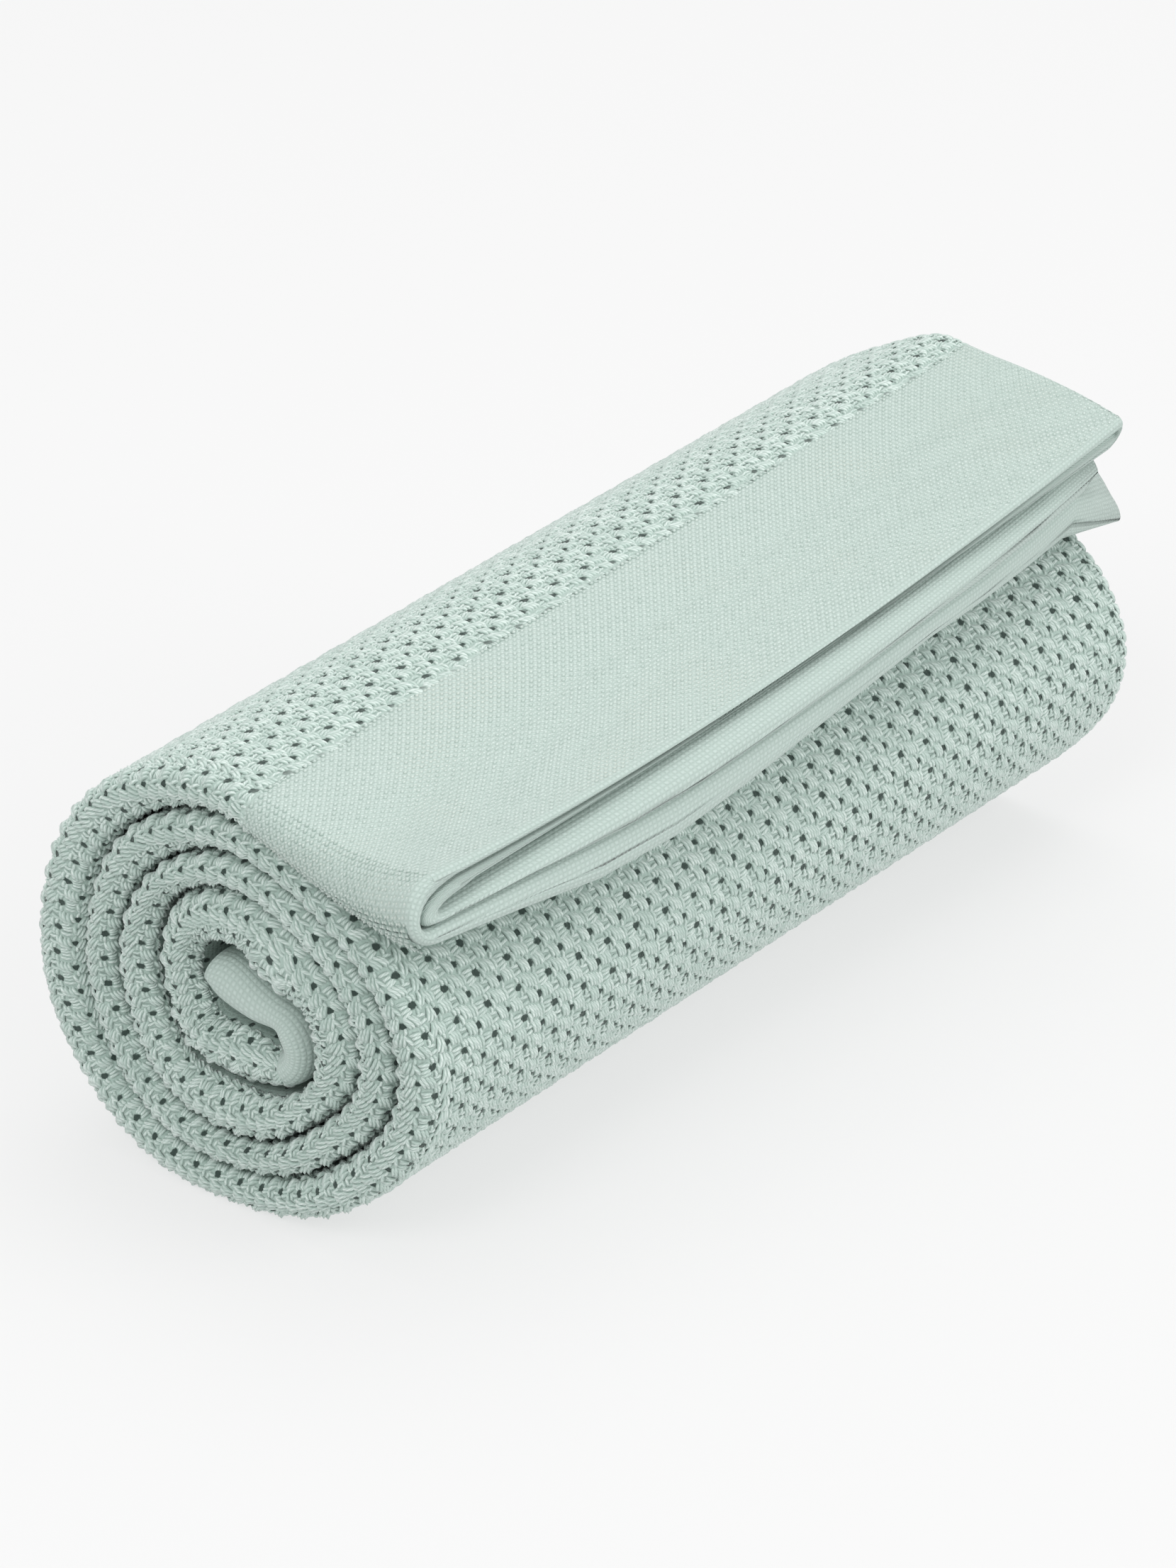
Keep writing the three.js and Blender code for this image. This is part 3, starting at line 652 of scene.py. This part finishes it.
# the tree that lays a yarn on each point of a flat pattern, moved and turned a little at
# random, and stores its tone
lay_yarns = bpy.data.node_groups.new("lay_yarns", "GeometryNodeTree")
for label, kind in (("Geometry", "Geometry"), ("Yarn", "Object"), ("Material", "Material"),
                    ("Shift", "Float"), ("Turn", "Float"), ("Seed", "Int")):
    lay_yarns.interface.new_socket(label, in_out="INPUT", socket_type="NodeSocket" + kind)
lay_yarns.interface.new_socket("Geometry", in_out="OUTPUT", socket_type="NodeSocketGeometry")
given = node(lay_yarns, "NodeGroupInput").outputs
size = node(lay_yarns, "GeometryNodeInputNamedAttribute", {"Name": "size"},
            data_type="FLOAT_VECTOR").outputs[0]
lean = node(lay_yarns, "GeometryNodeInputNamedAttribute", {"Name": "lean"}, data_type="FLOAT").outputs[0]
scatter = node(lay_yarns, "FunctionNodeRandomValue",
               {0: (-1, -1, -0.5), 1: (1, 1, 0.5), "Seed": given["Seed"]},
               data_type="FLOAT_VECTOR").outputs[0]
offset = node(lay_yarns, "ShaderNodeVectorMath", {0: scatter, "Scale": given["Shift"]},
              operation="SCALE").outputs[0]
tone = node(lay_yarns, "FunctionNodeRandomValue", {2: 0.0, 3: 1.0, "Seed": given["Seed"]},
            data_type="FLOAT").outputs[1]
swing = node(lay_yarns, "ShaderNodeMath", {0: tone, 1: -0.5}, operation="ADD").outputs[0]
swing = node(lay_yarns, "ShaderNodeMath", {0: swing, 1: given["Turn"], 2: lean},
             operation="MULTIPLY_ADD").outputs[0]
swing = node(lay_yarns, "ShaderNodeCombineXYZ", {2: swing}).outputs[0]
toned = node(lay_yarns, "GeometryNodeStoreNamedAttribute",
             {"Geometry": given["Geometry"], "Name": "tone", "Value": tone},
             data_type="FLOAT", domain="POINT").outputs[0]
moved = node(lay_yarns, "GeometryNodeSetPosition", {"Geometry": toned, "Offset": offset}).outputs[0]
yarn = node(lay_yarns, "GeometryNodeObjectInfo", {"Object": given["Yarn"]}).outputs["Geometry"]
laid = node(lay_yarns, "GeometryNodeInstanceOnPoints",
            {"Points": moved, "Instance": yarn, "Scale": size, "Rotation": swing}).outputs[0]
real = node(lay_yarns, "GeometryNodeRealizeInstances", {"Geometry": laid}).outputs[0]
finished = node(lay_yarns, "GeometryNodeSetMaterial",
                {"Geometry": real, "Material": given["Material"]}).outputs[0]
node(lay_yarns, "NodeGroupOutput", {"Geometry": finished})


def skin_at(across, length, lift):
    """Points over the band's outer skin, from places across and along the flat cloth."""
    station = np.interp(length, ARC, middle_line)
    near, far = ends_at(station)
    depth = fold_depth(station)
    far = far - LAYERS_SHORT * np.clip(1 - station / CORNER_REACH, 0, 1) ** 2
    near_run, far_run = fold_runs(station, np.clip(across, near, far))
    near_turn = np.clip((near + depth - across) / near_run, 0, np.pi)
    far_turn = np.clip((across - far + FOLD_FAR) / far_run, 0, np.pi)
    at_near, at_far = near_turn > 0, far_turn > 0
    x = np.where(at_near, near + depth * (1 - np.sin(near_turn)),
                 np.where(at_far, far - FOLD_FAR * (1 - np.sin(far_turn)), across))
    share = np.where(at_near, np.cos(near_turn), np.where(at_far, 0.5 + 0.5 * np.cos(far_turn), 1))
    place, half, normal = band_at(station, x)
    sideways = np.where(at_near, -np.sin(near_turn) * half, np.where(at_far, np.sin(far_turn) * half / 2, 0))
    outward = np.where(at_near, np.cos(near_turn) * depth, np.where(at_far, np.cos(far_turn) * FOLD_FAR, 1))
    reach = np.hypot(sideways, outward)
    relief = np.where(at_near, FOLD_RELIEF, np.where(at_far, FAR_RELIEF, 1))
    lift = np.where(lift > 0, lift * relief, lift)
    point = place + normal * (half * share + lift * outward / reach)[..., None]
    return in_part_frame(x + lift * sideways / reach, point)


def woven(name, pieces, root, yarn, material, shift, turn):
    """Lays yarns flat, from rows like those of FLOATS, and then rolls them up with the cloth."""
    across, along, long, lean, wide, crest = pieces.T
    points = np.stack([across, along, np.full(len(pieces), root)], -1)
    made = mesh_object(name, points, np.zeros((0, 4), int), material)
    set_attribute(made, "size", "FLOAT_VECTOR", np.stack([wide, long, crest - root], -1))
    set_attribute(made, "lean", "FLOAT", -np.radians(lean))
    laying = made.modifiers.new("lay_yarns", "NODES")
    laying.node_group = lay_yarns
    wanted = {"Yarn": yarn, "Material": material, "Shift": shift, "Turn": turn, "Seed": SEED}
    for socket in lay_yarns.interface.items_tree:
        if socket.name in wanted:
            laying[socket.identifier] = wanted[socket.name]
    flat = bpy.data.meshes.new_from_object(made.evaluated_get(bpy.context.evaluated_depsgraph_get()))
    made.modifiers.clear()
    made.data = flat
    for spare in ("size", "lean"):
        flat.attributes.remove(flat.attributes[spare])
    corners = np.zeros(len(flat.vertices) * 3, np.float32)
    flat.vertices.foreach_get("co", corners)
    corners = corners.reshape(-1, 3).astype(float)
    set_attribute(made, "cloth", "FLOAT_VECTOR", corners * [1, 1, 0])
    flat.vertices.foreach_set("co", skin_at(*corners.T).astype(np.float32).ravel())
    flat.update()
    return made


# soft-spun two-ply cotton: matt and puffy, each strand a touch lighter or darker, with painted shade on its
# flanks, the twist of its plies with painted shade in the grooves between them, and loose fibres just
# showing
FLANK_SHADE_FROM, FLANK_SHADE_TO = 0.16, 0.42               # where the painted shade on the flanks begins and ends, as shares of the strand's width from its middle
PLY_TWIST = (12.6, 16.0, 0)                     # radians of twist across and along one float
YARN_FIBRE, YARN_RELIEF = 0.35, 0.12            # millimetres
cotton_yarn, tree, out = new_material("soft_spun_cotton_yarn")
tone = node(tree, "ShaderNodeAttribute", attribute_name="tone").outputs["Fac"]
strand = node(tree, "ShaderNodeAttribute", attribute_name="strand").outputs["Vector"]
place = node(tree, "ShaderNodeTexCoord").outputs["Object"]
spun = node(tree, "ShaderNodeMix", {"Factor": tone, 6: linear("BFD0C9"), 7: linear("DAE6E1")},
            data_type="RGBA").outputs[2]
# painted shade: the strand darker towards its flanks
flank = node(tree, "ShaderNodeSeparateXYZ", {0: strand}).outputs[0]
flank = node(tree, "ShaderNodeMath", {0: flank}, operation="ABSOLUTE").outputs[0]
crest = node(tree, "ShaderNodeMapRange",
             {"Value": flank, "From Min": FLANK_SHADE_FROM, "From Max": FLANK_SHADE_TO, "To Min": 1.0, "To Max": 0.0},
             interpolation_type="SMOOTHSTEP").outputs[0]
spun = node(tree, "ShaderNodeMix", {"Factor": crest, 6: linear("98ABA3"), 7: spun},
            data_type="RGBA").outputs[2]
twist = node(tree, "ShaderNodeVectorMath", {0: strand, 1: PLY_TWIST},
             operation="DOT_PRODUCT").outputs["Value"]
plies = node(tree, "ShaderNodeMath", {0: twist}, operation="SINE").outputs[0]
# painted shade in the grooves between the plies
ply_groove_shade = node(tree, "ShaderNodeMapRange",
                     {"Value": plies, "From Min": -1.0, "From Max": 0.2,
                      "To Min": 0.5, "To Max": 0.0}).outputs[0]
spun = node(tree, "ShaderNodeMix", {"Factor": ply_groove_shade, 6: spun, 7: linear("9DB0A8")},
            data_type="RGBA").outputs[2]
fibres = node(tree, "ShaderNodeTexNoise",
              {"Vector": place, "Scale": 1 / (YARN_FIBRE * MM), "Detail": 3.0}).outputs[0]
relief = node(tree, "ShaderNodeMath", {0: plies, 1: 0.3, 2: fibres}, operation="MULTIPLY_ADD").outputs[0]
bump = node(tree, "ShaderNodeBump", {"Height": relief, "Strength": 0.5, "Distance": YARN_RELIEF * MM})
shader = node(tree, "ShaderNodeBsdfPrincipled",
              {"Base Color": spun, "Roughness": 0.9, "Specular IOR Level": 0.2, "Normal": bump.outputs[0],
               "Sheen Weight": 0.25, "Sheen Roughness": 0.5})
tree.links.new(shader.outputs[0], out.inputs[0])

PATTERN_MARGIN = 24                     # millimetres of pattern past each end, for the folds
repeats_round = int(np.interp(CORE_BORDER, middle_line, ARC) / PITCH_ROUND) + 3
repeats_along = int(2 * (HALF_LENGTH + PATTERN_MARGIN) / PITCH_ALONG) + 1
row, column = (k.ravel() for k in np.meshgrid(np.arange(repeats_round), np.arange(repeats_along),
                                              indexing="ij"))
repeat_across = (column - repeats_along // 2) * PITCH_ALONG
repeat_length = row * PITCH_ROUND - ROW_SLOPE * repeat_across
floats = np.repeat(FLOATS[None], len(repeat_across), 0)
floats[..., 0] += repeat_across[:, None]
floats[..., 1] += repeat_length[:, None]
floats = floats.reshape(-1, 6)
float_across, lean_of, length_of = floats[:, 0], floats[:, 3], floats[:, 2]
station = np.interp(floats[:, 1], ARC, middle_line)
near, far = ends_at(station)
border_ends = between(np.clip(float_across, -HALF_LENGTH, HALF_LENGTH), BORDER_LINE)
in_weave = (station > border_ends) & (station < CORE_BORDER)
near_fold = (float_across < near + fold_depth(station) + FOLD_OVERLAP) & (float_across > near - NEAR_ROUND)
far_fold = (float_across > far - FOLD_FAR - FOLD_OVERLAP) & (float_across < far + FAR_ROUND)
in_sight = (station < COVERED_FROM) & ~near_fold & ~far_fold & (float_across > near) & (float_across < far)
groups = {"weave_near_folds": in_weave & near_fold, "weave_far_folds": in_weave & far_fold}
for name, (part_starts, part_ends) in WEAVE_PARTS.items():
    groups[name] = in_weave & in_sight & (station >= part_starts) & (station < part_ends)
leaning = near_fold & (np.abs(lean_of) < BUNDLE_LEAN) & (length_of > BUNDLE_LENGTH)
second_half = (float_across / PITCH_ALONG + 0.5) % 1 > 0.5
floats[leaning, 3] = np.where(second_half[leaning], CHEVRON_LEAN, -CHEVRON_LEAN)
floats[leaning, 5] = floats[leaning, 5] * CHEVRON_RISE
fine_yarn, coarse_yarn = yarn_shape("fine_yarn", 6, 3), yarn_shape("coarse_yarn", 3, 3)
weave = []
for name, chosen in groups.items():
    shape = coarse_yarn if name == "weave_bottom" else fine_yarn
    weave.append(woven(name, floats[chosen], FLOAT_ROOT, shape, cotton_yarn, FLOAT_SHIFT, FLOAT_TURN))


# Border weave
# The last 50 mm of the loose end is plain weave of the same cotton yarn, beaten up close
# and woven in one with the cloth: each thread shows as a short puffy float.
BORDER_FIRST, BORDER_ROOT = 1.2, -0.2   # from the hemmed edge to the first thread, and its depth
BORDER_ROWS, BORDER_COLUMNS = 30, 60
BORDER_OVERLAP, BORDER_LIP = 0.1, 0.35  # stations past the border's end, and back from the hem
BORDER_NEAR_ROUND, BORDER_FAR_ROUND = 14, 1             # millimetres round the two folds
BORDER_SHIFT, BORDER_TURN = 0.06, 0.15
warp_over = [0.0, 0.0, 1.5, 0, 1.15, 0.28]
weft_over = [BORDER_WARP, 0.0, 1.65, 90, 0.95, 0.16]
plain_weave = np.array([warp_over, weft_over])
plain_weave = np.concatenate([plain_weave, plain_weave + [BORDER_WARP, BORDER_WEFT, 0, 0, 0, 0]])
plain_weave[3, 0] -= 2 * BORDER_WARP
row, column = (k.ravel() for k in np.meshgrid(np.arange(BORDER_ROWS),
                                              np.arange(-BORDER_COLUMNS, BORDER_COLUMNS), indexing="ij"))
threads = np.repeat(plain_weave[None], len(row), 0)
threads[..., 0] += (column * 2 * BORDER_WARP)[:, None]
threads[..., 1] += (row * 2 * BORDER_WEFT + BORDER_FIRST)[:, None]
threads = threads.reshape(-1, 6)
station = np.interp(threads[:, 1], ARC, middle_line)
near, far = ends_at(station)
x = np.clip(threads[:, 0], -HALF_LENGTH, HALF_LENGTH)
kept = ((station < between(x, BORDER_LINE) + BORDER_OVERLAP)
        & (station > between(x, UPPER_SHORT) + BORDER_LIP)
        & (threads[:, 0] > near - BORDER_NEAR_ROUND) & (threads[:, 0] < far + BORDER_FAR_ROUND))

# the same cotton beaten up close: flatter, matt, with grooves between its threads painted in shade, and
# faint warmer patches where it has been handled
PATCH = 28                                      # millimetres across a patch
THREAD_FIBRE, THREAD_RELIEF = 0.35, 0.1         # millimetres
beaten_up, tree, out = new_material("beaten_up_cotton_yarn")
tone = node(tree, "ShaderNodeAttribute", attribute_name="tone").outputs["Fac"]
cloth = node(tree, "ShaderNodeAttribute", attribute_name="cloth").outputs["Vector"]
strand = node(tree, "ShaderNodeAttribute", attribute_name="strand").outputs["Vector"]
place = node(tree, "ShaderNodeTexCoord").outputs["Object"]
spun = node(tree, "ShaderNodeMix", {"Factor": tone, 6: linear("C4D2CC"), 7: linear("D8E3DE")},
            data_type="RGBA").outputs[2]
patches = node(tree, "ShaderNodeTexNoise", {"Vector": cloth, "Scale": 1 / PATCH, "Detail": 1.0}).outputs[0]
patches = node(tree, "ShaderNodeMapRange",
               {"Value": patches, "From Min": 0.5, "From Max": 0.75,
                "To Min": 0.0, "To Max": 0.5}).outputs[0]
spun = node(tree, "ShaderNodeMix", {"Factor": patches, 6: spun, 7: linear("D5D8CE")},
            data_type="RGBA").outputs[2]
# painted shade: the thread darker where it lies low, in the grooves between its neighbours
crest = node(tree, "ShaderNodeSeparateXYZ", {0: strand}).outputs[2]
crest = node(tree, "ShaderNodeMapRange",
             {"Value": crest, "From Min": 0.35, "From Max": 0.95, "To Min": 0.0, "To Max": 1.0}).outputs[0]
spun = node(tree, "ShaderNodeMix", {"Factor": crest, 6: linear("8C9F97"), 7: spun},
            data_type="RGBA").outputs[2]
fibres = node(tree, "ShaderNodeTexNoise",
              {"Vector": place, "Scale": 1 / (THREAD_FIBRE * MM), "Detail": 3.0}).outputs[0]
bump = node(tree, "ShaderNodeBump", {"Height": fibres, "Strength": 0.4, "Distance": THREAD_RELIEF * MM})
shader = node(tree, "ShaderNodeBsdfPrincipled",
              {"Base Color": spun, "Roughness": 0.9, "Specular IOR Level": 0.2, "Normal": bump.outputs[0],
               "Sheen Weight": 0.25, "Sheen Roughness": 0.5})
tree.links.new(shader.outputs[0], out.inputs[0])
weave.append(woven("weave_border", threads[kept], BORDER_ROOT, coarse_yarn, beaten_up,
                   BORDER_SHIFT, BORDER_TURN))

for shape in (fine_yarn, coarse_yarn):
    bpy.data.objects.remove(shape)
for made in weave:
    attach(made, "root")
